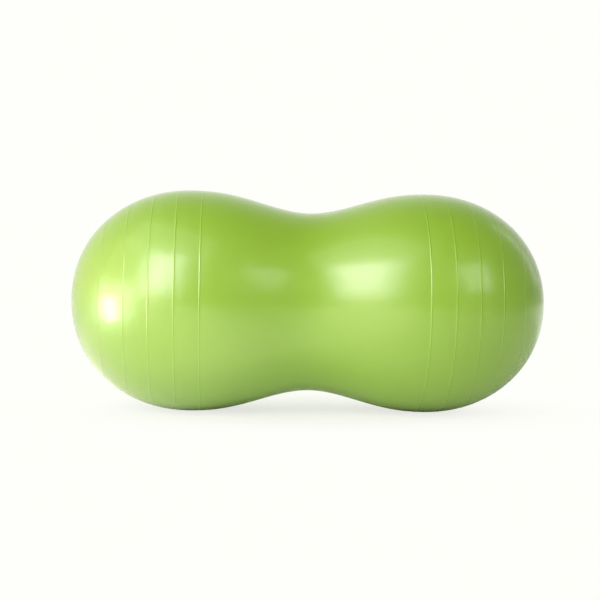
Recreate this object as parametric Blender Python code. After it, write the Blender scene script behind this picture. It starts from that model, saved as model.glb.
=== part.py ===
"""Peanut ball: an inflated vinyl exercise ball with two lobes, grip ribs and a stopper valve.

The long axis lies along X, with the valve at the +X pole. +Z is up, and the ball rests on z = 0,
with the origin under its middle. All lengths are in metres.
"""

import math

import bmesh
import bpy

# The inflated form
LOBE_SPACING = 0.492  # between the widest circles of the two lobes
LOBE_RADIUS = 0.233
WAIST_RADIUS = 0.1885
CAP_LENGTH = 0.254  # from a lobe's widest circle to its pole
CAP_FULLNESS = 2.09  # 2 is an ellipse, and more is squarer
WAIST_TIGHTNESS = 0.20  # 0 is a plain cosine, and more is a shorter waist
SKIN_WALL = 0.0010
REST_HALF_WIDTH = 0.030  # half the width of the flat that the floor presses into each lobe

# Grip ribs, moulded on the outside of both lobes
RIBS_PER_LOBE = 5
RIB_PITCH = 0.050
FIRST_RIB_SETBACK = 0.020  # from the widest circle, towards the waist
RIB_WIDTH = 0.0064
RIB_HEIGHT = 0.0009
RIB_SHOULDER = 0.0011  # half the width of the rib's rounded top
RIB_POLE_MARGIN = 0.030  # smooth skin kept between a rib and the pole

# The plug
PLUG_FLANGE_RADIUS = 0.0075
PLUG_FLANGE_THICKNESS = 0.0014
PLUG_DOME_HEIGHT = 0.0007
PLUG_STEM_LENGTH = 0.0230
PLUG_STEM_RADIUS = 0.0041
PLUG_TIP_RADIUS = 0.0031
PLUG_RIDGES = 3
PLUG_RIDGE_PITCH = 0.0048
PLUG_RIDGE_HEIGHT = 0.0005
PLUG_RIDGE_RUN = 0.0020  # the length of a ridge's gentle side, which leads it in
PLUG_HOLLOW_RADIUS = 0.0016
PLUG_HOLLOW_END = 0.0040  # solid stem left under the flange

# The valve seat, which grips the skin's neck between its head and its lip
SEAT_RIM = 0.0036  # beside the plug's flange
SEAT_FLOOR = 0.0011  # under the plug's flange
SEAT_WALL = 0.0026  # round the bore
SEAT_LIP_REACH = 0.0020
SEAT_LIP_THICKNESS = 0.0024
SEAT_CHAMFER = 0.0006

# The dimple and the neck that the skin turns into at the valve
VALVE_RECESS = 0.0016  # from the pole down to the top of the seat
DIMPLE_MARGIN = 0.0050  # round the seat's head
DIMPLE_ROUND = 0.0030
DIMPLE_ROUND_SHARE = 0.9  # of the dimple's depth, the most that its rounded mouth may take
NECK_WALL = 0.0022
NECK_LENGTH = 0.0130

FIT_GAP = 0.0003  # between pieces that touch
MERGE_DISTANCE = 1e-6

# How finely the curved surfaces are divided
SKIN_SEGMENTS = 48
VALVE_SEGMENTS = 32
WAIST_STEPS = 6
CAP_STEPS = 10
ROUND_STEPS = 3
SMOOTH_ANGLE = math.radians(40)

# Finishes: linear colour, roughness
VINYL_GREEN = ((0.366, 0.604, 0.089), 0.34)
SEAT_GREEN = ((0.300, 0.520, 0.075), 0.42)
PLUG_WHITE = ((0.800, 0.800, 0.770), 0.45)

# Sizes that follow from the ones above
HALF_SPACING = LOBE_SPACING / 2
POLE = HALF_SPACING + CAP_LENGTH
AXIS_HEIGHT = math.sqrt(LOBE_RADIUS**2 - REST_HALF_WIDTH**2)

BORE_MOUTH_RADIUS = PLUG_STEM_RADIUS + PLUG_RIDGE_HEIGHT + FIT_GAP
FLANGE_POCKET_RADIUS = PLUG_FLANGE_RADIUS + FIT_GAP
FLANGE_POCKET_DEPTH = PLUG_FLANGE_THICKNESS + FIT_GAP
SEAT_HEAD_RADIUS = FLANGE_POCKET_RADIUS + SEAT_RIM
SEAT_HEAD_THICKNESS = FLANGE_POCKET_DEPTH + SEAT_FLOOR
SEAT_BARREL_RADIUS = BORE_MOUTH_RADIUS + SEAT_WALL
SEAT_LIP_RADIUS = SEAT_BARREL_RADIUS + SEAT_LIP_REACH

NECK_BORE_RADIUS = SEAT_BARREL_RADIUS + FIT_GAP
NECK_OUTER_RADIUS = NECK_BORE_RADIUS + NECK_WALL
DIMPLE_RADIUS = SEAT_HEAD_RADIUS + DIMPLE_MARGIN
DIMPLE_MOUTH_RADIUS = DIMPLE_RADIUS + DIMPLE_ROUND

# Places along X
SEAT_TOP = POLE - VALVE_RECESS
SEAT_UNDERSIDE = SEAT_TOP - SEAT_HEAD_THICKNESS
DIMPLE_FLOOR = SEAT_UNDERSIDE - FIT_GAP
NECK_END = DIMPLE_FLOOR - NECK_LENGTH
SEAT_LIP_TOP = NECK_END - FIT_GAP
SEAT_END = SEAT_LIP_TOP - SEAT_LIP_THICKNESS
FLANGE_POCKET_FLOOR = SEAT_TOP - FLANGE_POCKET_DEPTH
FLANGE_UNDERSIDE = FLANGE_POCKET_FLOOR + FIT_GAP


def waist_surface(x):
    """Return the skin's radius and outward normal (along X, along the radius) in the waist."""
    swell = LOBE_RADIUS - WAIST_RADIUS
    across = x / HALF_SPACING
    phase = math.pi * across * (1 + WAIST_TIGHTNESS * (1 - across))
    phase_slope = math.pi * (1 + WAIST_TIGHTNESS * (1 - 2 * across)) / HALF_SPACING
    radius = WAIST_RADIUS + swell * (1 - math.cos(phase)) / 2
    slope = swell * math.sin(phase) / 2 * phase_slope
    length = math.hypot(slope, 1)
    return radius, -slope / length, 1 / length


def cap_surface(x):
    """Return the skin's radius and outward normal on the closed end of a lobe."""
    along = min((x - HALF_SPACING) / CAP_LENGTH, 1)
    out = (1 - along**CAP_FULLNESS) ** (1 / CAP_FULLNESS)
    normal_x = along ** (CAP_FULLNESS - 1) / CAP_LENGTH
    normal_r = out ** (CAP_FULLNESS - 1) / LOBE_RADIUS
    length = math.hypot(normal_x, normal_r)
    return LOBE_RADIUS * out, normal_x / length, normal_r / length


def skin_surface(x):
    """Return the smooth skin's radius and outward normal at x, from the middle to the pole."""
    if x < HALF_SPACING:
        return waist_surface(x)
    return cap_surface(x)


def skin_point(x, raised=0.0):
    """Return the point (x, radius) that lies raised above the smooth skin at x."""
    radius, normal_x, normal_r = skin_surface(x)
    return x + raised * normal_x, radius + raised * normal_r


def rib_crests():
    """Return where the ribs of one lobe cross the skin, as many as the cap has room for."""
    first = HALF_SPACING - FIRST_RIB_SETBACK
    crests = [first + RIB_PITCH * rib for rib in range(RIBS_PER_LOBE)]
    return [x for x in crests if x < POLE - RIB_POLE_MARGIN]


def ring_places():
    """Return the rings of the smooth skin from the middle to the pole, with room for ribs."""
    waist = [HALF_SPACING * step / WAIST_STEPS for step in range(WAIST_STEPS)]
    turns = [math.pi / 2 * step / CAP_STEPS for step in range(CAP_STEPS)]
    cap = [HALF_SPACING + CAP_LENGTH * math.sin(turn) for turn in turns]
    crests = rib_crests()
    return [x for x in waist + cap if all(abs(x - crest) > RIB_WIDTH for crest in crests)]


def rib_points(crest):
    """Return the four points of a rib's rounded section, raised from the skin at crest."""
    lean = skin_surface(crest)[2]
    foot = RIB_WIDTH / 2 * lean
    shoulder = RIB_SHOULDER * lean
    return [
        skin_point(crest - foot),
        skin_point(crest - shoulder, RIB_HEIGHT),
        skin_point(crest + shoulder, RIB_HEIGHT),
        skin_point(crest + foot),
    ]


def outer_half():
    """Return the outside of the skin from the middle of the waist towards a pole."""
    points = [skin_point(x) for x in ring_places()]
    for crest in rib_crests():
        points += rib_points(crest)
    return sorted(points)


def inner_half():
    """Return the inside of the skin, which runs smoothly on under the ribs."""
    places = ring_places() + rib_crests()
    return sorted(skin_point(x, -SKIN_WALL) for x in places)


def mirrored(points):
    """Return the half outline on the -X side, from its pole to just short of the middle."""
    return [(-x, radius) for x, radius in reversed(points) if x > MERGE_DISTANCE]


def dimple_lip_place():
    """Return where along X the skin meets the rounded mouth of the dimple."""
    share = DIMPLE_MOUTH_RADIUS / LOBE_RADIUS
    return HALF_SPACING + CAP_LENGTH * (1 - share**CAP_FULLNESS) ** (1 / CAP_FULLNESS)


def outer_chain():
    """Return the skin's outside, from the -X pole to the inner end of the valve's neck."""
    half = outer_half()
    lobe = [point for point in half if point[1] > DIMPLE_MOUTH_RADIUS + DIMPLE_ROUND]
    chain = [(-POLE, 0.0)] + mirrored(half) + lobe
    lip = dimple_lip_place()
    drop = min(DIMPLE_ROUND, (lip - DIMPLE_FLOOR) * DIMPLE_ROUND_SHARE)
    for step in range(ROUND_STEPS + 1):
        turn = math.pi / 2 * step / ROUND_STEPS
        x = lip - drop * (1 - math.cos(turn))
        chain.append((x, DIMPLE_MOUTH_RADIUS - DIMPLE_ROUND * math.sin(turn)))
    chain.append((DIMPLE_FLOOR, DIMPLE_RADIUS))
    chain.append((DIMPLE_FLOOR, NECK_BORE_RADIUS))
    chain.append((NECK_END, NECK_BORE_RADIUS))
    return chain


def inner_chain():
    """Return the skin's inside, from its -X end to the inner end of the valve's neck."""
    half = inner_half()
    collar = DIMPLE_MOUTH_RADIUS + NECK_WALL
    lobe = [point for point in half if point[1] > collar + DIMPLE_ROUND]
    chain = [(SKIN_WALL - POLE, 0.0)] + mirrored(half) + lobe
    chain.append((dimple_lip_place() - NECK_WALL, collar))
    chain.append((DIMPLE_FLOOR - NECK_WALL, DIMPLE_RADIUS + NECK_WALL))
    chain.append((DIMPLE_FLOOR - NECK_WALL, NECK_OUTER_RADIUS))
    chain.append((NECK_END, NECK_OUTER_RADIUS))
    chain.append((NECK_END, NECK_BORE_RADIUS))
    return chain


def turn_chain(chain, segments, closed=False):
    """Spin a chain of (x, radius) points round the X axis into a new bmesh."""
    bm = bmesh.new()
    verts = [bm.verts.new((x, 0.0, radius)) for x, radius in chain]
    pairs = list(zip(verts, verts[1:]))
    if closed:
        pairs.append((verts[-1], verts[0]))
    edges = [bm.edges.new(pair) for pair in pairs]
    bmesh.ops.spin(
        bm,
        geom=verts + edges,
        cent=(0, 0, 0),
        axis=(1, 0, 0),
        angle=math.tau,
        steps=segments,
        use_merge=True,
    )
    bmesh.ops.remove_doubles(bm, verts=bm.verts[:], dist=MERGE_DISTANCE)
    return bm


def press_flat(bm, floor):
    """Flatten what lies below the height floor, as the ball's weight does where it rests."""
    bmesh.ops.bisect_plane(
        bm,
        geom=bm.verts[:] + bm.edges[:] + bm.faces[:],
        dist=MERGE_DISTANCE,
        plane_co=(0, 0, floor),
        plane_no=(0, 0, 1),
    )
    for vert in bm.verts:
        vert.co.z = max(vert.co.z, floor)
    pressed = [f for f in bm.faces if all(v.co.z < floor + MERGE_DISTANCE for v in f.verts)]
    bmesh.ops.dissolve_faces(bm, faces=pressed, use_verts=True)


def make_material(name, finish):
    """Return a new plain material in the given colour and roughness."""
    colour, roughness = finish
    material = bpy.data.materials.new(name)
    material.use_nodes = True
    shader = material.node_tree.nodes["Principled BSDF"]
    shader.inputs["Base Color"].default_value = (*colour, 1)
    shader.inputs["Roughness"].default_value = roughness
    shader.inputs["Metallic"].default_value = 0
    return material


def make_piece(name, bm, place, finish):
    """Turn a bmesh, modelled on the ball's axis, into a named object with its origin at place."""
    bmesh.ops.recalc_face_normals(bm, faces=bm.faces[:])
    bmesh.ops.translate(bm, verts=bm.verts[:], vec=(-place, 0, 0))
    mesh = bpy.data.meshes.new(name)
    bm.to_mesh(mesh)
    bm.free()
    mesh.shade_smooth()
    mesh.set_sharp_from_angle(angle=SMOOTH_ANGLE)
    mesh.materials.append(make_material(name, finish))
    piece = bpy.data.objects.new(name, mesh)
    piece.location = (place, 0, AXIS_HEIGHT)
    bpy.context.collection.objects.link(piece)
    return piece


def make_skin():
    """Make the hollow vinyl skin: outside and inside are turned apart, pressed and welded."""
    outside = turn_chain(outer_chain(), SKIN_SEGMENTS)
    press_flat(outside, -AXIS_HEIGHT)
    inside = turn_chain(inner_chain(), SKIN_SEGMENTS)
    press_flat(inside, SKIN_WALL - AXIS_HEIGHT)
    inside_mesh = bpy.data.meshes.new("skin_inside")
    inside.to_mesh(inside_mesh)
    inside.free()
    outside.from_mesh(inside_mesh)
    bpy.data.meshes.remove(inside_mesh)
    bmesh.ops.remove_doubles(outside, verts=outside.verts[:], dist=MERGE_DISTANCE)
    return make_piece("skin", outside, 0.0, VINYL_GREEN)


def bore_radius(depth):
    """Return the seat's bore at a depth below the plug's flange, tapered like the stem."""
    taper = (PLUG_STEM_RADIUS - PLUG_TIP_RADIUS) / PLUG_STEM_LENGTH
    return BORE_MOUTH_RADIUS - taper * depth


def make_seat():
    """Make the valve seat, a turned grommet with a pocket for the flange and a tapered bore."""
    chain = [
        (SEAT_TOP, FLANGE_POCKET_RADIUS),
        (SEAT_TOP, SEAT_HEAD_RADIUS - SEAT_CHAMFER),
        (SEAT_TOP - SEAT_CHAMFER, SEAT_HEAD_RADIUS),
        (SEAT_UNDERSIDE, SEAT_HEAD_RADIUS),
        (SEAT_UNDERSIDE, SEAT_BARREL_RADIUS),
        (SEAT_LIP_TOP, SEAT_BARREL_RADIUS),
        (SEAT_LIP_TOP, SEAT_LIP_RADIUS),
        (SEAT_END + SEAT_CHAMFER, SEAT_LIP_RADIUS),
        (SEAT_END, SEAT_LIP_RADIUS - SEAT_CHAMFER),
        (SEAT_END, bore_radius(FLANGE_UNDERSIDE - SEAT_END)),
        (FLANGE_POCKET_FLOOR, bore_radius(FLANGE_UNDERSIDE - FLANGE_POCKET_FLOOR)),
        (FLANGE_POCKET_FLOOR, FLANGE_POCKET_RADIUS),
    ]
    bm = turn_chain(chain, VALVE_SEGMENTS, closed=True)
    return make_piece("valve_seat", bm, SEAT_TOP, SEAT_GREEN)


def stem_radius(depth):
    """Return the plug's plain stem radius at a depth below its flange."""
    return bore_radius(depth) - FIT_GAP - PLUG_RIDGE_HEIGHT


def flange_chain():
    """Return the plug's domed flange, from the axis to the underside of its rim."""
    top = FLANGE_UNDERSIDE + PLUG_FLANGE_THICKNESS
    chain = []
    for step in range(ROUND_STEPS + 1):
        share = step / ROUND_STEPS
        x = top + PLUG_DOME_HEIGHT * (1 - share**2)
        chain.append((x, PLUG_FLANGE_RADIUS * share))
    chain.append((FLANGE_UNDERSIDE, PLUG_FLANGE_RADIUS))
    return chain


def stem_chain():
    """Return the ridged stem, from the flange's underside to the axis inside its hollow end."""
    edge = PLUG_TIP_RADIUS - PLUG_HOLLOW_RADIUS
    room = PLUG_STEM_LENGTH - edge
    crests = [PLUG_RIDGE_PITCH * ridge for ridge in range(1, PLUG_RIDGES + 1)]
    chain = [(FLANGE_UNDERSIDE, stem_radius(0))]
    for crest in crests:
        lead = crest + PLUG_RIDGE_RUN
        if lead < room:
            chain.append((FLANGE_UNDERSIDE - crest + PLUG_RIDGE_HEIGHT, stem_radius(crest)))
            chain.append((FLANGE_UNDERSIDE - crest, stem_radius(crest) + PLUG_RIDGE_HEIGHT))
            chain.append((FLANGE_UNDERSIDE - lead, stem_radius(lead)))
    tip = FLANGE_UNDERSIDE - PLUG_STEM_LENGTH
    hollow_end = FLANGE_UNDERSIDE - PLUG_HOLLOW_END
    chain.append((tip + edge / 2, PLUG_TIP_RADIUS))
    chain.append((tip, PLUG_TIP_RADIUS - edge / 2))
    chain.append((tip, PLUG_HOLLOW_RADIUS))
    chain.append((hollow_end, PLUG_HOLLOW_RADIUS))
    chain.append((hollow_end + PLUG_HOLLOW_RADIUS, 0.0))
    return chain


def make_plug():
    """Make the push-in plug, which pulls out along the ball's axis."""
    bm = turn_chain(flange_chain() + stem_chain(), VALVE_SEGMENTS)
    return make_piece("plug", bm, SEAT_TOP, PLUG_WHITE)


for leftover in list(bpy.data.objects):
    bpy.data.objects.remove(leftover, do_unlink=True)

make_skin()
make_seat()
make_plug()
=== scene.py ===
# %% [markdown]
# # A peanut ball, one finish at a time
# The real ball is a single skin of soft PVC vinyl, blown up until it is tight, with a small valve
# in one end. Almost everything that the eye reads on it comes from three things: how the light
# slides over a smooth double curve, how the grip ribs break that light, and how satin the vinyl is.
# This lesson takes them one by one, round a fixed frame that already holds the sizes and the joint.

# %% Load the fixed frame
import math

import bpy
from mathutils import Matrix, Vector, noise


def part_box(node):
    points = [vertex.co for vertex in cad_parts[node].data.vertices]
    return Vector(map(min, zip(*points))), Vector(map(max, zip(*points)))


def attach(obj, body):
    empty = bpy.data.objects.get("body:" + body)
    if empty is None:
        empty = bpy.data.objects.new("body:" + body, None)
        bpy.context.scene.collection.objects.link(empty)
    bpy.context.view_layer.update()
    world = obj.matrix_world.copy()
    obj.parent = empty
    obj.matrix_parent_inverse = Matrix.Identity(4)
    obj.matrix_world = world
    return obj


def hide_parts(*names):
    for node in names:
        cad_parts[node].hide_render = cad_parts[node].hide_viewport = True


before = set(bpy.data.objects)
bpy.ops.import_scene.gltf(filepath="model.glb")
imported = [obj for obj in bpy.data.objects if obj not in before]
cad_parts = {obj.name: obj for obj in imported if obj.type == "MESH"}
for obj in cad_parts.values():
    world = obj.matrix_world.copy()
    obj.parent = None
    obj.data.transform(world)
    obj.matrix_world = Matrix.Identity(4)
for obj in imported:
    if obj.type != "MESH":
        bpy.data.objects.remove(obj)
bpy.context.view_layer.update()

# %% [markdown]
# ## Where the camera stands
# The picture was taken from low down, with a short telephoto lens, a little to the left of the
# ball's middle. A camera could be placed by eye, but here its place was worked out from the
# outline of the two lobes, because a wrong distance swells the nearer lobe. It leans by less than
# a degree, which lets the ball's long axis fall slightly to the right.

# %% Camera
CAMERA_PLACE = (-0.1559, -2.4451, 0.3595)
CAMERA_AIM = (-0.0189, 0.0, 0.2347)
CAMERA_LEAN = math.radians(0.88)
FOCAL_LENGTH = 68.9  # millimetres, on a sensor 36 mm wide
SENSOR_WIDTH = 36.0


def stand_camera():
    """Put the camera at its place, looking at its aim, and lean it about its own line of sight."""
    camera = bpy.data.objects.new("camera", bpy.data.cameras.new("camera"))
    camera.data.lens = FOCAL_LENGTH
    camera.data.sensor_width = SENSOR_WIDTH
    gaze = (Vector(CAMERA_AIM) - Vector(CAMERA_PLACE)).to_track_quat("-Z", "Y")
    upright = Matrix.LocRotScale(Vector(CAMERA_PLACE), gaze, None)
    camera.matrix_world = upright @ Matrix.Rotation(CAMERA_LEAN, 4, "Z")
    bpy.context.scene.collection.objects.link(camera)
    bpy.context.scene.camera = camera
    return camera


camera = stand_camera()
print("camera is", round((Vector(CAMERA_AIM) - Vector(CAMERA_PLACE)).length, 2), "m from its aim")

# %% [markdown]
# ## The form of the skin
# Air pushes the skin out evenly, so the ball is a turned form: one outline, spun round the long
# axis. The outline could be drawn with a handful of curve points, but a formula is easier to keep
# smooth. The waist is a cosine swell that is drawn in a little, and each end is a superellipse,
# which is a shade fuller than a true ellipse. The frame gives the length and the axis height.

# %% Sizes of the skin
skin_low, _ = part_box("skin")
seat_low, seat_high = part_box("valve_seat")
plug_low, plug_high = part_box("plug")

POLE = -skin_low.x  # from the middle of the waist to the end of a lobe
AXIS_HEIGHT = (seat_low.z + seat_high.z) / 2
LOBE_SPACING = 0.492  # between the widest circles of the two lobes
LOBE_RADIUS = 0.233
WAIST_RADIUS = 0.1885
CAP_FULLNESS = 2.09  # 2 is an ellipse, and more is squarer
WAIST_TIGHTNESS = 0.20  # 0 is a plain cosine, and more is a shorter waist
SKIN_WALL = 0.0010
HALF_SPACING = LOBE_SPACING / 2
CAP_LENGTH = POLE - HALF_SPACING
print("from the middle to the pole", round(POLE, 4), "axis height", round(AXIS_HEIGHT, 4))


# %% The smooth outline and its normal
def waist_surface(x):
    """Return the radius and the outward normal (along X, along the radius) in the waist."""
    swell = LOBE_RADIUS - WAIST_RADIUS
    across = x / HALF_SPACING
    phase = math.pi * across * (1 + WAIST_TIGHTNESS * (1 - across))
    phase_slope = math.pi * (1 + WAIST_TIGHTNESS * (1 - 2 * across)) / HALF_SPACING
    radius = WAIST_RADIUS + swell * (1 - math.cos(phase)) / 2
    slope = swell * math.sin(phase) / 2 * phase_slope
    length = math.hypot(slope, 1)
    return radius, -slope / length, 1 / length


def cap_surface(x):
    """Return the radius and the outward normal on the closed end of a lobe."""
    along = min((x - HALF_SPACING) / CAP_LENGTH, 1)
    out = (1 - along**CAP_FULLNESS) ** (1 / CAP_FULLNESS)
    normal_x = along ** (CAP_FULLNESS - 1) / CAP_LENGTH
    normal_r = out ** (CAP_FULLNESS - 1) / LOBE_RADIUS
    length = math.hypot(normal_x, normal_r)
    return LOBE_RADIUS * out, normal_x / length, normal_r / length


def skin_surface(x):
    """Return the smooth skin's radius and outward normal at x, from the middle to the pole."""
    if x < HALF_SPACING:
        return waist_surface(x)
    return cap_surface(x)


print("radius at the waist", skin_surface(0)[0], "and at a lobe", skin_surface(HALF_SPACING)[0])

# %% [markdown]
# ## Ribs, and the skin between them
# The grip ribs are rings of thicker vinyl, moulded with the skin. A thick ring stretches less than
# the thin skin beside it, so once the ball is blown up each rib sits in a shallow pinch, and the
# skin bulges from one rib to the next. That bulge is under half a millimetre, yet it is what makes
# a reflection jump sideways at every rib. Both could be painted as bump, but they are made in the
# mesh here, so that they also show on the outline. A thin tube held by a stiff ring swells back
# over a length of the square root of radius times wall, and that rule sets the width of the pinch.

# %% Ribs and pinches
RIBS_PER_LOBE = 5
RIB_PITCH = 0.050
FIRST_RIB_SETBACK = 0.020  # from the widest circle, towards the waist
RIB_HALF_WIDTH = 0.0022
RIB_HEIGHT = 0.0005
PINCH_DEPTH = 0.0004
PINCH_REACH = math.sqrt(LOBE_RADIUS * SKIN_WALL)
RIB_CRESTS = [HALF_SPACING - FIRST_RIB_SETBACK + RIB_PITCH * rib for rib in range(RIBS_PER_LOBE)]


def distance_from_rib(x, crest):
    """Return how far x lies from a rib's crest, measured along the skin."""
    return (x - crest) / skin_surface(crest)[2]


def rib_share(x):
    """Return 1 on the crest of a rib and 0 beside it, rounded as a moulded bead is."""
    away = min(abs(distance_from_rib(x, crest)) for crest in RIB_CRESTS)
    if away >= RIB_HALF_WIDTH:
        return 0.0
    return math.cos(math.pi / 2 * away / RIB_HALF_WIDTH) ** 2


def pinch_depth(x):
    """Return how far the ribs hold the skin back at x."""
    held = [abs(distance_from_rib(x, crest)) / PINCH_REACH for crest in RIB_CRESTS]
    return PINCH_DEPTH * sum(math.exp(-reach) for reach in held)


def skin_point(x):
    """Return the point (x, radius) of the real skin: the smooth form, pinched and ribbed."""
    radius, normal_x, normal_r = skin_surface(x)
    raised = RIB_HEIGHT * rib_share(x) - pinch_depth(x)
    return x + raised * normal_x, radius + raised * normal_r


print("a pinch swells back over", round(PINCH_REACH * 1000, 1), "mm")

# %% [markdown]
# ## Which rings the mesh gets
# The waist and the ends only need a ring every centimetre or so, but a rib that is four millimetres
# wide needs a dozen of its own, or its flanks turn into facets that sparkle. So the wide rings are
# laid first, then cleared near each rib, and replaced there by a fine set.

# %% Ring places
WAIST_RINGS = 30
CAP_RINGS = 40
RIB_RINGS = 12


def ring_places():
    """Return the places of the rings from the middle to the pole, closer together on the ribs."""
    waist = [HALF_SPACING * ring / WAIST_RINGS for ring in range(WAIST_RINGS)]
    turns = [math.pi / 2 * ring / CAP_RINGS for ring in range(CAP_RINGS)]
    places = waist + [HALF_SPACING + CAP_LENGTH * math.sin(turn) for turn in turns]
    for crest in RIB_CRESTS:
        reach = RIB_HALF_WIDTH * skin_surface(crest)[2]
        step = 2 * reach / RIB_RINGS
        places = [x for x in places if abs(x - crest) > reach + step]
        places += [crest - reach + step * ring for ring in range(RIB_RINGS + 1)]
    return sorted(places)


print("rings from the middle to a pole:", len(ring_places()))

# %% [markdown]
# ## The valve's dimple and neck
# At one end the skin dips into a shallow dimple and runs inwards as a short thick neck, which
# holds the valve seat. A mould leaves no sharp edge there, so each corner of the outline is
# rounded by one helper, which every turned piece below uses as well.

# %% Rounded corners
FILLET_STEPS = 6  # from one end of a rounded corner to the other


def filleted(corners, closed=False):
    """Round the corners (x, radius, fillet) of an outline, and return its points."""
    points = []
    for index, (x, radius, fillet) in enumerate(corners):
        here = Vector((x, radius))
        at_end = not closed and index in (0, len(corners) - 1)
        if fillet == 0 or at_end:
            points.append((x, radius))
            continue
        back = (Vector(corners[index - 1][:2]) - here).normalized()
        ahead = (Vector(corners[(index + 1) % len(corners)][:2]) - here).normalized()
        half = back.angle(ahead) / 2
        centre = here + (back + ahead).normalized() * (fillet / math.sin(half))
        start = here + back * (fillet / math.tan(half)) - centre
        end = here + ahead * (fillet / math.tan(half)) - centre
        first = math.atan2(start.y, start.x)
        sweep = (math.atan2(end.y, end.x) - first + math.pi) % math.tau - math.pi
        for step in range(FILLET_STEPS + 1):
            turn = first + sweep * step / FILLET_STEPS
            points.append((centre.x + fillet * math.cos(turn), centre.y + fillet * math.sin(turn)))
    return points


print("points on a rounded corner:", FILLET_STEPS + 1)

# %% Sizes of the valve
FIT_GAP = 0.0003  # between pieces that touch
SEAT_TOP = seat_high.x
SEAT_END = seat_low.x
SEAT_HEAD_RADIUS = (seat_high.z - seat_low.z) / 2
SEAT_HEAD_THICKNESS = 0.0028
SEAT_BARREL_RADIUS = 0.0075
SEAT_LIP_RADIUS = 0.0095
SEAT_LIP_THICKNESS = 0.0024
FLANGE_POCKET_DEPTH = 0.0017
BORE_MOUTH_RADIUS = 0.0049
DIMPLE_MARGIN = 0.0050  # between the seat's head and the dimple's side
DIMPLE_RADIUS = SEAT_HEAD_RADIUS + DIMPLE_MARGIN
DIMPLE_ROUND = 0.0030
DIMPLE_FLOOR_FILLET = 0.0009
NECK_WALL = 0.0022
NECK_FILLET = 0.0004
SEAT_UNDERSIDE = SEAT_TOP - SEAT_HEAD_THICKNESS
DIMPLE_FLOOR = SEAT_UNDERSIDE - FIT_GAP
DIMPLE_MOUTH_RADIUS = DIMPLE_RADIUS + DIMPLE_ROUND
NECK_BORE_RADIUS = SEAT_BARREL_RADIUS + FIT_GAP
NECK_OUTER_RADIUS = NECK_BORE_RADIUS + NECK_WALL
NECK_END = SEAT_END + SEAT_LIP_THICKNESS + FIT_GAP
FLANGE_POCKET_RADIUS = (plug_high.z - plug_low.z) / 2 + FIT_GAP
print("the seat's head is", round(SEAT_HEAD_RADIUS * 2000, 1), "mm across")

# %% The skin's outline, outside and inside
MOUTH_STEPS = 2 * FILLET_STEPS  # round the dimple's lip, which is larger than any other corner
INSIDE_RING_STRIDE = 4  # the inside, which shows only through the bore, gets every fourth ring


def place_on_cap(radius):
    """Return where along X the end of a lobe has the given radius."""
    share = radius / LOBE_RADIUS
    return HALF_SPACING + CAP_LENGTH * (1 - share**CAP_FULLNESS) ** (1 / CAP_FULLNESS)


def outside_outline():
    """Return the outside as (x, radius, rib share), from the -X pole into the valve's neck."""
    half = [(*skin_point(x), rib_share(x)) for x in ring_places()]
    far = [(-x, radius, share) for x, radius, share in reversed(half) if x > 0]
    near = [point for point in half if point[1] > DIMPLE_MOUTH_RADIUS + DIMPLE_ROUND]
    lip = place_on_cap(DIMPLE_MOUTH_RADIUS)
    mouth = []
    for step in range(MOUTH_STEPS):
        turn = math.pi / 2 * step / MOUTH_STEPS
        x = lip - DIMPLE_ROUND * (1 - math.cos(turn))
        mouth.append((x, DIMPLE_MOUTH_RADIUS - DIMPLE_ROUND * math.sin(turn)))
    hollow = filleted([
        (lip - DIMPLE_ROUND, DIMPLE_RADIUS, 0),
        (DIMPLE_FLOOR, DIMPLE_RADIUS, DIMPLE_FLOOR_FILLET),
        (DIMPLE_FLOOR, NECK_BORE_RADIUS, NECK_FILLET),
        (NECK_END, NECK_BORE_RADIUS, 0),
    ])
    return [(-POLE, 0.0, 0.0)] + far + near + [(x, radius, 0.0) for x, radius in mouth + hollow]


def inside_outline():
    """Return the inside as (x, radius, 0), from the valve's neck back to the -X end."""
    lip = place_on_cap(DIMPLE_MOUTH_RADIUS)
    collar = filleted([
        (NECK_END, NECK_OUTER_RADIUS, 0),
        (DIMPLE_FLOOR - NECK_WALL, NECK_OUTER_RADIUS, NECK_FILLET),
        (DIMPLE_FLOOR - NECK_WALL, DIMPLE_RADIUS + NECK_WALL, NECK_FILLET),
        (lip - NECK_WALL, DIMPLE_MOUTH_RADIUS + NECK_WALL, 0),
    ])
    half = []
    for x in ring_places()[::INSIDE_RING_STRIDE]:
        radius, normal_x, normal_r = skin_surface(x)
        inwards = SKIN_WALL + pinch_depth(x)
        half.append((x - inwards * normal_x, radius - inwards * normal_r))
    near = [point for point in half if point[1] > DIMPLE_MOUTH_RADIUS + NECK_WALL + DIMPLE_ROUND]
    back = near[::-1] + [(-x, radius) for x, radius in half if x > 0] + [(SKIN_WALL - POLE, 0.0)]
    return [(x, radius, 0.0) for x, radius in collar + back]


skin_outline = outside_outline() + inside_outline()
print("points in the skin's outline:", len(skin_outline))

# %% [markdown]
# ## Turning an outline
# Blender can spin an edge with its Screw modifier or with bmesh. Here the rings are written out
# directly, since the skin also has to remember where its ribs are: each point of the outline may
# carry a mark, which becomes a named attribute of the mesh that the finish reads later.

# %% Turn an outline round the long axis
AROUND_SKIN = 192
AROUND_VALVE = 96
SHARP_FROM = math.radians(50)


def ring_faces(first, second, around):
    """Join two rings of vertex numbers with faces. A ring of one number is a pole."""
    faces = []
    for here in range(around):
        ahead = (here + 1) % around
        if len(first) == 1:
            faces.append((first[0], second[ahead], second[here]))
        elif len(second) == 1:
            faces.append((first[here], first[ahead], second[0]))
        else:
            faces.append((first[here], first[ahead], second[ahead], second[here]))
    return faces


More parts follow.
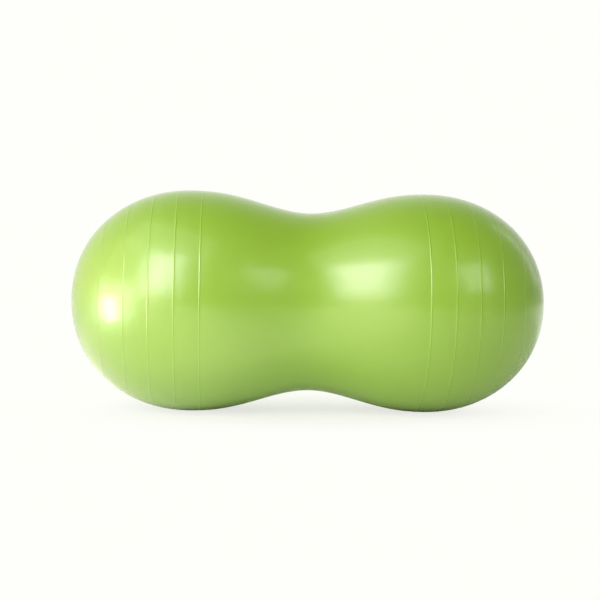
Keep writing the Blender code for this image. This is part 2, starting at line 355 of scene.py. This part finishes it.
def turned_piece(name, outline, around, closed=False):
    """Turn an outline of (x, radius) or (x, radius, mark) round the ball's axis into an object."""
    verts, rings, marks = [], [], []
    for x, radius, *mark in outline:
        count = around if radius > 0 else 1
        rings.append(range(len(verts), len(verts) + count))
        for index in range(count):
            turn = math.tau * index / around
            verts.append((x, radius * math.sin(turn), AXIS_HEIGHT - radius * math.cos(turn)))
            marks += mark
    pairs = list(zip(rings, rings[1:]))
    if closed:
        pairs.append((rings[-1], rings[0]))
    mesh = bpy.data.meshes.new(name)
    faces = [face for first, second in pairs for face in ring_faces(first, second, around)]
    mesh.from_pydata(verts, [], faces)
    if marks:
        mesh.attributes.new("rib", "FLOAT", "POINT").data.foreach_set("value", marks)
    mesh.shade_smooth()
    mesh.set_sharp_from_angle(angle=SHARP_FROM)
    piece = bpy.data.objects.new(name, mesh)
    bpy.context.scene.collection.objects.link(piece)
    return piece


print("faces round the skin:", AROUND_SKIN, "and round the valve:", AROUND_VALVE)

# %% [markdown]
# ## The skin itself
# A blown-up vinyl skin is never a perfect turned form: its wall is a little thicker in some places
# than in others, so it swells unevenly by a few tenths of a millimetre. Smooth noise with no seed
# of its own gives that, the same on every run. Then the floor presses each lobe flat over a patch
# a little smaller than a palm, which is done with a soft clamp, because a tight skin rolls into its
# contact patch and doesn't break into it.

# %% Make the skin
UNEVEN_HEIGHT = 0.00025
UNEVEN_LENGTH = 0.110  # from one swelling to the next
VALVE_CALM = 0.06  # along X from the valve's end, where thick vinyl keeps its shape
PRESS_ROUNDING = 0.0006  # how softly the skin rolls into its contact patch


def swelling(place):
    """Return how far the uneven skin stands out at a place, fading to nothing at the valve."""
    calm = min(max((POLE - place.x) / VALVE_CALM - 1, 0), 1)
    return UNEVEN_HEIGHT * calm * noise.noise(place / UNEVEN_LENGTH)


def pressed(height):
    """Return a height after the floor has pressed it, rolled softly into the contact patch."""
    return (height + math.hypot(height, PRESS_ROUNDING)) / 2


skin = turned_piece("vinyl_skin", skin_outline, AROUND_SKIN)
for vert in skin.data.vertices:
    across = Vector((0, vert.co.y, vert.co.z - AXIS_HEIGHT))
    if across.length > DIMPLE_MOUTH_RADIUS:
        vert.co += across.normalized() * swelling(vert.co)
    vert.co.z = pressed(vert.co.z)
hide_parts("skin")
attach(skin, "ball")
print("faces in the skin:", len(skin.data.polygons))

# %% [markdown]
# ## The valve seat and the plug
# The seat is a vinyl grommet: its head lies on the dimple's floor, its lip snaps in behind the
# neck, and its bore narrows inwards. The plug is a harder white polyethylene moulding with a thin
# domed flange and a hollow stem, whose ridges have a gentle side to lead them in and a steep side
# to hold. Both are turned from a list of corners, each with its own rounding, in the places that
# the frame gives.

# %% Sizes of the stem and the bore it fits
PLUG_STEM_LENGTH = 0.0230
PLUG_STEM_RADIUS = 0.0041
PLUG_TIP_RADIUS = 0.0031
PLUG_FLANGE_THICKNESS = 0.0014
PLUG_DOME_HEIGHT = 0.0007
FLANGE_UNDERSIDE = plug_high.x - PLUG_DOME_HEIGHT - PLUG_FLANGE_THICKNESS
STEM_TAPER = (PLUG_STEM_RADIUS - PLUG_TIP_RADIUS) / PLUG_STEM_LENGTH
FLANGE_POCKET_FLOOR = SEAT_TOP - FLANGE_POCKET_DEPTH


def bore_radius(x):
    """Return the seat's bore at x, which narrows inwards as the stem does."""
    return BORE_MOUTH_RADIUS - STEM_TAPER * (FLANGE_UNDERSIDE - x)


print("the bore narrows to", round(bore_radius(SEAT_END) * 2000, 1), "mm across")

# %% Make the valve seat
seat_corners = [  # along X, radius, rounding
    (SEAT_TOP, FLANGE_POCKET_RADIUS, 0.00025),
    (SEAT_TOP, SEAT_HEAD_RADIUS, 0.0009),
    (SEAT_UNDERSIDE, SEAT_HEAD_RADIUS, 0.0003),
    (SEAT_UNDERSIDE, SEAT_BARREL_RADIUS, 0.0002),
    (SEAT_END + SEAT_LIP_THICKNESS, SEAT_BARREL_RADIUS, 0.0002),
    (SEAT_END + SEAT_LIP_THICKNESS, SEAT_LIP_RADIUS, 0.0004),
    (SEAT_END, SEAT_LIP_RADIUS, 0.0009),
    (SEAT_END, bore_radius(SEAT_END), 0.0003),
    (FLANGE_POCKET_FLOOR, bore_radius(FLANGE_POCKET_FLOOR), 0.0002),
    (FLANGE_POCKET_FLOOR, FLANGE_POCKET_RADIUS, 0.0002),
]
seat = turned_piece("valve_grommet", filleted(seat_corners, closed=True), AROUND_VALVE, closed=True)
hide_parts("valve_seat")
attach(seat, "ball")
print("faces in the seat:", len(seat.data.polygons))

# %% Sizes of the plug
PLUG_RIDGES = 3
PLUG_RIDGE_PITCH = 0.0048
PLUG_RIDGE_HEIGHT = 0.0005
PLUG_RIDGE_RUN = 0.0020  # the length of its gentle side
PLUG_HOLLOW_RADIUS = 0.0016
PLUG_HOLLOW_END = 0.0040  # below the flange's underside, where the hollow's walls end
PLUG_FLANGE_RADIUS = (plug_high.z - plug_low.z) / 2
GATE_RADIUS = 0.0009  # the small round mark where the plastic ran into the mould
GATE_HEIGHT = 0.00015
RIM_STEP_RADIUS = 0.0060  # a shallow step in the flange, a grip for the thumbnail
RIM_STEP_DEPTH = 0.00018
DOME_STEPS = 5  # from the gate mark to the thumbnail's step
print("the plug is", round((plug_high.x - plug_low.x) * 1000, 1), "mm long")


# %% The plug's outline
def dome_height(radius):
    """Return the place along X of the flange's domed top at a radius."""
    return plug_high.x - PLUG_DOME_HEIGHT * (radius / PLUG_FLANGE_RADIUS) ** 2


def stem_radius(depth):
    """Return the plain stem's radius at a depth below the flange."""
    return bore_radius(FLANGE_UNDERSIDE - depth) - FIT_GAP - PLUG_RIDGE_HEIGHT


def flange_corners():
    """Return the flange's top from the axis outwards: gate mark, dome, step and rounded rim."""
    gate = dome_height(GATE_RADIUS)
    corners = [(gate + GATE_HEIGHT, 0.0, 0), (gate + GATE_HEIGHT, GATE_RADIUS, 0.0001)]
    corners.append((gate, GATE_RADIUS + GATE_HEIGHT / 2, 0))
    for step in range(1, DOME_STEPS):
        radius = GATE_RADIUS + (RIM_STEP_RADIUS - GATE_RADIUS) * step / DOME_STEPS
        corners.append((dome_height(radius), radius, 0))
    inner, outer = RIM_STEP_RADIUS, RIM_STEP_RADIUS + RIM_STEP_DEPTH
    corners.append((dome_height(inner), inner, 0.00005))
    corners.append((dome_height(outer) - RIM_STEP_DEPTH, outer, 0.00005))
    corners.append((dome_height(PLUG_FLANGE_RADIUS) - RIM_STEP_DEPTH, PLUG_FLANGE_RADIUS, 0.0004))
    corners.append((FLANGE_UNDERSIDE, PLUG_FLANGE_RADIUS, 0.0003))
    return corners


def stem_corners():
    """Return the stem from the flange's underside, past its ridges, to the end of its hollow."""
    corners = [(FLANGE_UNDERSIDE, stem_radius(0), 0.0002)]
    for ridge in range(1, PLUG_RIDGES + 1):
        crest = PLUG_RIDGE_PITCH * ridge
        lead = crest + PLUG_RIDGE_RUN
        corners.append((FLANGE_UNDERSIDE - crest + PLUG_RIDGE_HEIGHT, stem_radius(crest), 0.0002))
        top = stem_radius(crest) + PLUG_RIDGE_HEIGHT
        corners.append((FLANGE_UNDERSIDE - crest, top, 0.00015))
        corners.append((FLANGE_UNDERSIDE - lead, stem_radius(lead), 0.0002))
    tip = FLANGE_UNDERSIDE - PLUG_STEM_LENGTH
    hollow_end = FLANGE_UNDERSIDE - PLUG_HOLLOW_END
    corners.append((tip, PLUG_TIP_RADIUS, 0.0007))
    corners.append((tip, PLUG_HOLLOW_RADIUS, 0.0002))
    corners.append((hollow_end, PLUG_HOLLOW_RADIUS, 0.0006))
    corners.append((hollow_end + PLUG_HOLLOW_RADIUS, 0.0, 0))
    return corners


plug_corners = flange_corners() + stem_corners()
print("corners in the plug's outline:", len(plug_corners))

# %% Make the plug
plug = turned_piece("polyethylene_plug", filleted(plug_corners), AROUND_VALVE)
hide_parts("plug")
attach(plug, "stopper")
print("faces in the plug:", len(plug.data.polygons))

# %% [markdown]
# ## Helpers for the finishes
# Colours are read off as sRGB hex, as on a colour card, and a shader wants them linear, so one
# function turns them. Another adds a node with its settings and its links in a single call, which
# keeps a material readable as a list of what feeds what. A third starts a finish, and the last
# works out a texture's scale from a real size in millimetres.

# %% Colour and node helpers
def linear(hex_colour):
    """Turn an sRGB hex colour such as "#98c042" into linear red, green, blue and alpha."""
    shares = [int(hex_colour[at:at + 2], 16) / 255 for at in (1, 3, 5)]
    toned = [s / 12.92 if s <= 0.04045 else ((s + 0.055) / 1.055) ** 2.4 for s in shares]
    return (*toned, 1.0)


def add_node(tree, kind, values=None, links=None, **settings):
    """Add a node with its settings, the values of its sockets and the sockets that feed it."""
    made = tree.nodes.new(kind)
    for setting, choice in settings.items():
        setattr(made, setting, choice)
    for socket, value in (values or {}).items():
        made.inputs[socket].default_value = value
    for socket, source in (links or {}).items():
        tree.links.new(source, made.inputs[socket])
    return made


def new_finish(name):
    """Return a new material, its node tree, its shader and the coordinates of the piece."""
    material = bpy.data.materials.new(name)
    material.use_nodes = True
    tree = material.node_tree
    shader = tree.nodes["Principled BSDF"]
    places = tree.nodes.new("ShaderNodeTexCoord").outputs["Object"]
    return material, tree, shader, places


def per_metre(millimetres):
    """Return the noise scale at which one swelling of a texture is that many millimetres long."""
    return 1000 / millimetres


print("a green such as #98c042, linear:", [round(share, 3) for share in linear("#98c042")[:3]])

# %% [markdown]
# ## Moulded PVC vinyl
# The skin is plasticised PVC, cast by turning a hot mould, so its colour goes right through. Its
# satin has two parts. The mould was blasted with fine beads, which leaves a grain just under a
# millimetre and a broad, dull gloss. Over that lies the film of plasticiser that soft vinyl always
# sweats out, smoother than the grain, which gives each lamp a tighter reflection with a soft edge.
# One roughness can't do both, so the film is the shader's coat and the grain its base. PVC has an
# index of refraction of about 1.53 and the film 1.50. The grain is drawn three times too coarse,
# or it would vanish between two pixels, and with it goes the slow waviness that such a wall has,
# often called orange peel. Where the wall is thinner the colour is a touch yellower, and the tops
# of the ribs are a little smoother from rubbing on the floor.

# %% Finish of the skin
VINYL_GREEN = "#92bf33"
VINYL_THIN = "#96c236"  # where the wall is thinner
VINYL_IOR = 1.53
VINYL_SPECULAR = 0.8  # the shader's own level is 0.5
VINYL_ROUGHNESS = 0.43
RIB_ROUGHNESS = 0.36
FILM_IOR = 1.50
FILM_ROUGHNESS = 0.19
GRAIN_MM = 2.4  # the real grain is about 0.8 mm
GRAIN_BUMP = {"Strength": 0.25, "Distance": 0.0001}  # the distance is its depth in metres
PEEL_MM = 14.0  # from one slow wave of the skin to the next
PEEL_BUMP = {"Strength": 0.30, "Distance": 0.0002}
SHADE_MM = 180.0  # from one thin place of the wall to the next


def moulded_vinyl():
    """Return the skin's finish: dyed-through vinyl with a satin grain."""
    material, tree, shader, places = new_finish("moulded_pvc_vinyl")
    wall = add_node(tree, "ShaderNodeTexNoise", {"Scale": per_metre(SHADE_MM), "Detail": 2.0},
                    {"Vector": places})
    tint = add_node(tree, "ShaderNodeMix", {"A": linear(VINYL_GREEN), "B": linear(VINYL_THIN)},
                    {"Factor": wall.outputs["Fac"]}, data_type="RGBA")
    ribs = add_node(tree, "ShaderNodeAttribute", attribute_name="rib")
    gloss = add_node(tree, "ShaderNodeMapRange", {"To Min": VINYL_ROUGHNESS, "To Max": RIB_ROUGHNESS},
                     {"Value": ribs.outputs["Fac"]})
    grain = add_node(tree, "ShaderNodeTexNoise", {"Scale": per_metre(GRAIN_MM), "Detail": 3.0},
                     {"Vector": places})
    peel = add_node(tree, "ShaderNodeTexNoise", {"Scale": per_metre(PEEL_MM), "Detail": 1.0},
                    {"Vector": places})
    fine = add_node(tree, "ShaderNodeBump", GRAIN_BUMP, {"Height": grain.outputs["Fac"]})
    slow = add_node(tree, "ShaderNodeBump", PEEL_BUMP, {
        "Height": peel.outputs["Fac"], "Normal": fine.outputs["Normal"],
    })
    shader.inputs["IOR"].default_value = VINYL_IOR
    shader.inputs["Specular IOR Level"].default_value = VINYL_SPECULAR
    shader.inputs["Coat Weight"].default_value = 1.0
    shader.inputs["Coat IOR"].default_value = FILM_IOR
    shader.inputs["Coat Roughness"].default_value = FILM_ROUGHNESS
    tree.links.new(tint.outputs["Result"], shader.inputs["Base Color"])
    tree.links.new(gloss.outputs["Result"], shader.inputs["Roughness"])
    tree.links.new(slow.outputs["Normal"], shader.inputs["Normal"])
    return material


skin.data.materials.append(moulded_vinyl())
print("finish of the skin:", skin.data.materials[0].name)

# %% [markdown]
# ## Soft vinyl and polyethylene at the valve
# The seat is the same vinyl, thicker and a shade deeper, and duller, because it has none of the
# skin's film over it. The plug is low-density polyethylene, a waxy white plastic with an index of
# 1.51: light goes a little way in and comes out beside where it entered, which takes the hardness
# off its edges. Faint turning marks from the mould run round its flange. The valve is only a few
# pixels wide in a render of the whole ball, so no pattern could be drawn coarse enough to show on
# it, and each keeps its real size. In soft light the marks are hard to see even from close by.

# %% Finishes of the valve
SEAT_GREEN = "#8ab23a"
SEAT_ROUGHNESS = (0.40, 0.52)  # from the clearest to the dullest places
CLOUD_MM = 3.0  # from one dull place of the seat to the next
CLOUD_BUMP = {"Strength": 0.3, "Distance": 0.00005}
PLUG_WHITE = "#e6e6e1"
PLUG_ROUGHNESS = (0.38, 0.50)
HAZE_MM = 1.5  # from one dull place of the plug to the next
POLYETHYLENE_IOR = 1.51
WAX_SHARE = 0.35  # of the light that goes into the plug and comes out beside its entry
WAX_DEPTH = 0.0012  # how far it goes for red
WAX_SPREAD = (1.0, 0.9, 0.8)  # and for red, green and blue, as shares of that
MARK_MM = 0.6  # from one turning mark to the next
MARK_WAVER = 0.4  # how far a mark strays from a true ring, in radians of its wave
MARK_BUMP = {"Strength": 0.15, "Distance": 0.00003}
WAVE_RATE = 20  # a wave texture turns through that many radians in each unit of its scale


def thick_vinyl():
    """Return the seat's finish: the skin's vinyl, deeper and duller."""
    material, tree, shader, places = new_finish("thick_pvc_vinyl")
    cloud = add_node(tree, "ShaderNodeTexNoise", {"Scale": per_metre(CLOUD_MM), "Detail": 3.0},
                     {"Vector": places})
    clear, dull = SEAT_ROUGHNESS
    tint = add_node(tree, "ShaderNodeMix", {"A": linear(SEAT_GREEN), "B": linear(VINYL_GREEN)},
                    {"Factor": cloud.outputs["Fac"]}, data_type="RGBA")
    rough = add_node(tree, "ShaderNodeMapRange", {"To Min": clear, "To Max": dull},
                     {"Value": cloud.outputs["Fac"]})
    bump = add_node(tree, "ShaderNodeBump", CLOUD_BUMP, {"Height": cloud.outputs["Fac"]})
    shader.inputs["IOR"].default_value = VINYL_IOR
    tree.links.new(tint.outputs["Result"], shader.inputs["Base Color"])
    tree.links.new(rough.outputs["Result"], shader.inputs["Roughness"])
    tree.links.new(bump.outputs["Normal"], shader.inputs["Normal"])
    return material


def moulded_polyethylene():
    """Return the plug's finish: waxy white polyethylene with faint marks round its axis."""
    material, tree, shader, places = new_finish("moulded_polyethylene")
    centred = add_node(tree, "ShaderNodeMapping", {"Location": (0, 0, -AXIS_HEIGHT)},
                       {"Vector": places})
    fineness = per_metre(MARK_MM) * math.tau / WAVE_RATE
    marks = add_node(tree, "ShaderNodeTexWave", {"Scale": fineness, "Distortion": MARK_WAVER},
                     {"Vector": centred.outputs["Vector"]}, wave_type="RINGS", rings_direction="X")
    haze = add_node(tree, "ShaderNodeTexNoise", {"Scale": per_metre(HAZE_MM)}, {"Vector": places})
    clear, dull = PLUG_ROUGHNESS
    rough = add_node(tree, "ShaderNodeMapRange", {"To Min": clear, "To Max": dull},
                     {"Value": haze.outputs["Fac"]})
    bump = add_node(tree, "ShaderNodeBump", MARK_BUMP, {"Height": marks.outputs["Fac"]})
    shader.inputs["Base Color"].default_value = linear(PLUG_WHITE)
    shader.inputs["IOR"].default_value = POLYETHYLENE_IOR
    shader.inputs["Subsurface Weight"].default_value = WAX_SHARE
    shader.inputs["Subsurface Radius"].default_value = WAX_SPREAD
    shader.inputs["Subsurface Scale"].default_value = WAX_DEPTH
    tree.links.new(rough.outputs["Result"], shader.inputs["Roughness"])
    tree.links.new(bump.outputs["Normal"], shader.inputs["Normal"])
    return material


seat.data.materials.append(thick_vinyl())
plug.data.materials.append(moulded_polyethylene())
print("finishes of the valve:", seat.data.materials[0].name, plug.data.materials[0].name)

# %% [markdown]
# ## A pale sweep of floor
# The ball was shot on a white sweep, so floor and background run into each other. The floor is a
# plain pale card to every light. To the camera it is mostly a glowing white, which lifts it to the
# background, and only near the ball some of the card's own light is let through, which holds the
# ball's shadow. The share fades over an oval nearly half as long again as the ball, so that no
# horizon shows. The vinyl mirrors the floor too, and in the picture it does so brightly on the
# key's side and dimly on the other. So the key's light and shade on the floor are painted for
# reflections: they see the white behind the ball, a painted white glow on the left, and the card
# painted a darker grey on the right as painted shade. A warm pool of light is also painted on the
# left part of the floor as a cream glow, whiter than the camera can show, which counts in
# reflections only, where it warms the left end.

# %% Colours and reaches of the floor
BACKGROUND = "#fefffa"
FLOOR_CARD = "#f4f4f0"
SHADOW_SHARE = 0.30  # how much of the floor's own light the camera sees near the ball
SHADOW_REACH = (0.02, 0.36)  # across the ball, where that share starts to fade, and where it ends
SHADOW_LENGTH = 2.0  # the oval's length over its width
# Painted shade and light for reflections only: the floor away from the key is painted a darker grey, and
# on the key's side it glows with a painted white.
PAINTED_SHADE_CARD = "#c4c4c0"  # what reflections show of the floor away from the key
UNLIT_SIDE = (-0.30, 0.50)  # along X, where the floor's reflection fades from lit to dark
LIT_SIDE = (0.45, -0.25)  # along X, where reflections start to see the key's white floor
LIT_REACH = (0.10, 0.30)  # and how far from the ball's middle, past its own shadow
SWEEP_REACH = (0.25, 1.10)  # behind the ball, where its reflections start to see the sweep's white
# Painted light: a warm pool of light glows on the floor on the key's side, seen in reflections only.
PAINTED_POOL_CREAM = "#ffe7d0"  # the warm pool of light on the key's side
PAINTED_POOL_GLOW = 0.5  # how much brighter than the background it is
POOL_REACH = (0.70, 0.10)  # behind the ball, where the pool starts, and where it is full
print("the ball's shadow shows up to", SHADOW_REACH[1] * SHADOW_LENGTH, "m along its axis")


# %% Helpers for the floor's finish
def seen_share(tree, reflected):
    """Return a socket that is 1 for camera rays, the given socket for reflected ones, or else 0."""
    path = add_node(tree, "ShaderNodeLightPath")
    mirrored = add_node(tree, "ShaderNodeMath", operation="MAXIMUM", links={
        0: path.outputs["Is Glossy Ray"], 1: path.outputs["Is Transmission Ray"],
    })
    weighed = add_node(tree, "ShaderNodeMath", operation="MULTIPLY", links={
        0: mirrored.outputs["Value"], 1: reflected,
    })
    seen = add_node(tree, "ShaderNodeMath", operation="MAXIMUM", links={
        0: path.outputs["Is Camera Ray"], 1: weighed.outputs["Value"],
    })
    return seen.outputs["Value"]


def faded(tree, distance, reach, near):
    """Return a socket that goes smoothly from a near value to 1 over a reach of distances."""
    fade = add_node(tree, "ShaderNodeMapRange", {
        "From Min": reach[0], "From Max": reach[1], "To Min": near, "To Max": 1.0,
    }, {"Value": distance}, interpolation_type="SMOOTHSTEP")
    return fade.outputs["Result"]


# %% The floor's finish
def floor_card():
    """Return the floor's finish: a pale card that glows as the background does away from the ball, with
    painted light and shade that only reflections see.
    """
    material = bpy.data.materials.new("floor_card")
    material.use_nodes = True
    tree = material.node_tree
    tree.nodes.remove(tree.nodes["Principled BSDF"])
    glow = add_node(tree, "ShaderNodeEmission", {"Color": linear(BACKGROUND)})
    places = add_node(tree, "ShaderNodeTexCoord").outputs["Object"]
    oval = add_node(tree, "ShaderNodeMapping", {"Scale": (1 / SHADOW_LENGTH, 1, 1)}, {"Vector": places})
    away = add_node(tree, "ShaderNodeVectorMath", links={0: oval.outputs["Vector"]}, operation="LENGTH")
    path = add_node(tree, "ShaderNodeLightPath")
    along, behind, _ = add_node(tree, "ShaderNodeSeparateXYZ", links={"Vector": places}).outputs
    # Painted shade: to reflections, the floor turns a darker grey away from the key.
    painted_shade = add_node(tree, "ShaderNodeMath", operation="MULTIPLY", links={
        0: faded(tree, along, UNLIT_SIDE, 0.0), 1: path.outputs["Is Glossy Ray"],
    })
    shade = add_node(tree, "ShaderNodeMix", {"A": linear(FLOOR_CARD), "B": linear(PAINTED_SHADE_CARD)},
                     {"Factor": painted_shade.outputs["Value"]}, data_type="RGBA")
    card = add_node(tree, "ShaderNodeBsdfDiffuse", links={"Color": shade.outputs["Result"]})
    # Painted light: to reflections, the floor glows white on the key's side near the ball.
    lit = add_node(tree, "ShaderNodeMath", operation="MULTIPLY", links={
        0: faded(tree, along, LIT_SIDE, 0.0), 1: faded(tree, away.outputs["Value"], LIT_REACH, 0.0),
    })
    white = add_node(tree, "ShaderNodeMath", operation="MAXIMUM", links={
        0: lit.outputs["Value"], 1: faded(tree, behind, SWEEP_REACH, 0.0),
    })
    # Painted light: a cream pool of light glows on the key's side, to reflections only.
    pooled = add_node(tree, "ShaderNodeMath", operation="MULTIPLY", links={
        0: lit.outputs["Value"], 1: faded(tree, behind, POOL_REACH, 0.0),
    })
    mirrored = add_node(tree, "ShaderNodeMath", operation="MULTIPLY", links={
        0: pooled.outputs["Value"], 1: path.outputs["Is Glossy Ray"],
    })
    strength = add_node(tree, "ShaderNodeMath", {1: PAINTED_POOL_GLOW}, {0: mirrored.outputs["Value"]},
                        operation="MULTIPLY")
    pool = add_node(tree, "ShaderNodeEmission", {"Color": linear(PAINTED_POOL_CREAM)},
                    {"Strength": strength.outputs["Value"]})
    shine = add_node(tree, "ShaderNodeAddShader", links={
        0: glow.outputs["Emission"], 1: pool.outputs["Emission"],
    })
    share = add_node(tree, "ShaderNodeMath", operation="MULTIPLY", links={
        0: faded(tree, away.outputs["Value"], SHADOW_REACH, 1 - SHADOW_SHARE),
        1: seen_share(tree, white.outputs["Value"]),
    })
    mix = add_node(tree, "ShaderNodeMixShader", links={
        0: share.outputs["Value"], 1: card.outputs["BSDF"], 2: shine.outputs["Shader"],
    })
    tree.links.new(mix.outputs["Shader"], tree.nodes["Material Output"].inputs["Surface"])
    return material


floor_finish = floor_card()
print("nodes in the floor's finish:", len(floor_finish.node_tree.nodes))

# %% Make the floor
FLOOR_RADIUS = 6.0
FLOOR_RINGS = 12  # closer together near the ball
AROUND_FLOOR = 96


def floor_disc():
    """Return the floor, a disc of rings round the middle of the ball."""
    verts = [(0.0, 0.0, 0.0)]
    rings = [[0]]
    for ring in range(1, FLOOR_RINGS + 1):
        radius = FLOOR_RADIUS * (ring / FLOOR_RINGS) ** 2
        rings.append(range(len(verts), len(verts) + AROUND_FLOOR))
        for index in range(AROUND_FLOOR):
            turn = math.tau * index / AROUND_FLOOR
            verts.append((radius * math.cos(turn), radius * math.sin(turn), 0.0))
    mesh = bpy.data.meshes.new("floor")
    faces = [f for pair in zip(rings[1:], rings) for f in ring_faces(*pair, AROUND_FLOOR)]
    mesh.from_pydata(verts, [], faces)
    mesh.materials.append(floor_finish)
    floor = bpy.data.objects.new("floor", mesh)
    bpy.context.scene.collection.objects.link(floor)
    return floor


floor = floor_disc()
print("floor is", FLOOR_RADIUS * 2, "m across")

# %% [markdown]
# ## Studio light
# The reflections on the ball say where the lamps were. A big softbox stood high on the left behind
# the camera, brightest in its middle, with a cream wall beside and below it and a whiter one above,
# which lit the left lobe broadly. A weaker softbox stood on the right, a small bright patch low on
# the far left with a soft spill round it, and a thin strip behind the right end. A lamp that stands
# close lights the end of the ball much more than the rest, and turns a light green into lime, so the
# patch and its spill only mirror in the vinyl. Nothing in the picture says how the far side was lit,
# so three wide panels give it plain light from above, from the backdrop and from the valve's side,
# and those don't mirror. The lamps are area lights, aimed at the ball's middle, each given by its
# bearing from the camera's side, its height angle, its distance, and how many degrees wide and tall
# it looks from the ball, because a reflection shows a lamp's angles and not its metres.

# %% Lamps
BALL_CENTRE = Vector((0.0, 0.0, AXIS_HEIGHT))
LAMP_WHITE = "#ffffff"
WALL_CREAM = "#ffe7d0"  # the painted wall on the left, a little warmer than the lamps


def softbox(name, bearing, rise, distance, wide, tall, watts, colour=LAMP_WHITE,
            mirrored=True, lighting=True):
    """Add an area light at a bearing (degrees towards +X) and a rise (degrees above level)."""
    turn, lift = math.radians(bearing), math.radians(rise)
    towards = Vector((math.sin(turn) * math.cos(lift), -math.cos(turn) * math.cos(lift), math.sin(lift)))
    lamp = bpy.data.lights.new(name, "AREA")
    lamp.shape = "RECTANGLE"
    lamp.size = 2 * distance * math.tan(math.radians(wide / 2))
    lamp.size_y = 2 * distance * math.tan(math.radians(tall / 2))
    lamp.energy = watts
    lamp.color = linear(colour)[:3]
    holder = bpy.data.objects.new(name, lamp)
    holder.visible_camera = False
    holder.visible_glossy = mirrored
    holder.visible_diffuse = lighting
    place = BALL_CENTRE + towards * distance
    holder.matrix_world = Matrix.LocRotScale(place, (-towards).to_track_quat("-Z", "Y"), None)
    bpy.context.scene.collection.objects.link(holder)
    return holder


lamps = [  # bearing, rise, distance, degrees wide, degrees tall, watts
    softbox("key_softbox", -31, 28.5, 3.2, 19, 30, 23.5),
    softbox("key_spill", -31, 27, 3.3, 34, 42, 37),
    softbox("wall_beside_key", -58, 26, 3.0, 60, 50, 18, WALL_CREAM),
    softbox("wall_below_key", -44, 6, 3.0, 48, 20, 11, WALL_CREAM),
    softbox("wall_above_key", -45, 60, 3.0, 60, 30, 12.5),
    softbox("low_patch", -70.5, -6.5, 1.1, 12.5, 18, 2.6, lighting=False),
    softbox("patch_spill", -68, -8, 1.15, 34, 40, 3.8, lighting=False),
    softbox("fill_softbox", 44, 25, 3.2, 24, 24, 11.8),
    softbox("thin_strip", 119, 24, 2.6, 8, 34, 1.15),
    softbox("overhead_behind", -160, 58, 3.0, 50, 34, 14, mirrored=False),
    softbox("backdrop_bounce", 180, 20, 3.2, 64, 40, 36, mirrored=False),
    softbox("valve_side_fill", 120, 16, 3.2, 50, 30, 34, mirrored=False),
]
print("lamps:", [lamp.name for lamp in lamps])

# %% [markdown]
# ## The room
# The room fills the shadows softly: more from behind, where the sweep rises, and from the left
# wall. Its even part reaches the ball only as plain light, since a studio is dark where nothing is
# lit, and the vinyl has to mirror that darkness to look as deep a green as it does. The left wall
# turns cream, and it mirrors more brightly than it lights, which lays a pale veil over the left end
# and leaves the green under it alone. To the camera the room is the background's white on every
# side, and so it is to reflections that look straight back at the sweep, which is what gives the
# ball its pale rim.

# %% Light of the room
ROOM_LIGHT = "#f4f5f3"
ROOM_EVENLY = 0.12
ROOM_FROM_SWEEP = 0.80
ROOM_FROM_WALL = 0.58
WALL_MIRRORED = 1.40  # the wall's own white, which only reflections see
WIDE = 2.0  # how fast a share of the room falls off to the side
NARROW = 5.0


def share_from(tree, gaze, direction, narrowness):
    """Return a socket that is 1 where a ray looks in the direction and falls to 0 at its side."""
    facing = add_node(tree, "ShaderNodeVectorMath", {1: direction}, {0: gaze}, operation="DOT_PRODUCT")
    ahead = add_node(tree, "ShaderNodeMath", {1: 0.0}, {0: facing.outputs["Value"]}, operation="MAXIMUM")
    share = add_node(tree, "ShaderNodeMath", {1: narrowness}, {0: ahead.outputs["Value"]},
                     operation="POWER")
    return share.outputs["Value"]


def by_ray(tree, kind, otherwise, for_kind):
    """Return a socket with one number for a kind of ray and another for the rest."""
    path = add_node(tree, "ShaderNodeLightPath")
    choice = add_node(tree, "ShaderNodeMapRange", {"To Min": otherwise, "To Max": for_kind},
                      {"Value": path.outputs[kind]})
    return choice.outputs["Result"]


print("room light:", ROOM_EVENLY, "evenly, and", ROOM_FROM_SWEEP, "more from the sweep")

# %% World
world = bpy.data.worlds.new("room")
bpy.context.scene.world = world
world.use_nodes = True
sky = world.node_tree
gaze = add_node(sky, "ShaderNodeTexCoord").outputs["Generated"]
sweep = share_from(sky, gaze, (0, 1, 0), WIDE)
wall = share_from(sky, gaze, (-1, 0, 0), WIDE)
evenly = by_ray(sky, "Is Diffuse Ray", 0.0, ROOM_EVENLY)
with_sweep = add_node(sky, "ShaderNodeMath", {1: ROOM_FROM_SWEEP}, {0: sweep, 2: evenly},
                      operation="MULTIPLY_ADD").outputs["Value"]
with_wall = add_node(sky, "ShaderNodeMath", links={
    0: wall, 1: by_ray(sky, "Is Glossy Ray", ROOM_FROM_WALL, WALL_MIRRORED), 2: with_sweep,
}, operation="MULTIPLY_ADD").outputs["Value"]
paint = add_node(sky, "ShaderNodeMix", {"A": linear(ROOM_LIGHT), "B": linear(WALL_CREAM)},
                 {"Factor": wall}, data_type="RGBA")
room = sky.nodes["Background"]
sky.links.new(paint.outputs["Result"], room.inputs["Color"])
sky.links.new(with_wall, room.inputs["Strength"])
white = add_node(sky, "ShaderNodeBackground", {"Color": linear(BACKGROUND), "Strength": 1.0})
straight_back = share_from(sky, gaze, (0, 1, 0), NARROW)
chosen = add_node(sky, "ShaderNodeMixShader", links={
    0: seen_share(sky, straight_back), 1: room.outputs["Background"], 2: white.outputs["Background"],
})
sky.links.new(chosen.outputs["Shader"], sky.nodes["World Output"].inputs["Surface"])
bpy.context.scene.view_settings.view_transform = "Standard"
print("nodes in the room:", len(sky.nodes))
